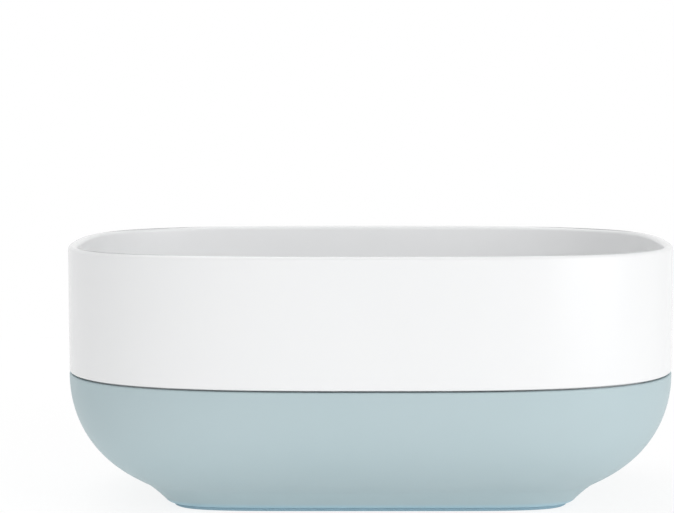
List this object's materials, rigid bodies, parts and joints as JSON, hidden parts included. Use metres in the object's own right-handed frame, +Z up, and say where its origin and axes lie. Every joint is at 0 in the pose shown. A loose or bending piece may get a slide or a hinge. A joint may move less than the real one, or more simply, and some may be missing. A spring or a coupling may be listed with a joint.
{
  "type": "soap dish",
  "caption": "Compact soap dish: a straight-walled draining tray with a slotted, ribbed floor that lifts off a rounded reservoir base on a non-slip foot pad.",
  "frame": {"origin": "centre of the flat face of the foot pad that the dish stands on", "axes": "+X along the dish's length, +Y from the front in the picture to the back, +Z up"},
  "size_m": [0.12, 0.08, 0.0516],
  "materials": {
    "white_plastic": "smooth moulded, softly glossy",
    "blue_grey_plastic": "fine satin",
    "blue_rubber": "soft matte"
  },
  "bodies": {
    "base": {"reservoir_base": "blue_grey_plastic", "foot_pad": "blue_rubber"},
    "tray": {"drain_tray": "white_plastic"}
  },
  "joints": [
    {"name": "tray_lift", "type": "slide", "parent": "base", "child": "tray", "axis": [0, 0, 1], "range_m": [0, 0.06]}
  ]
}
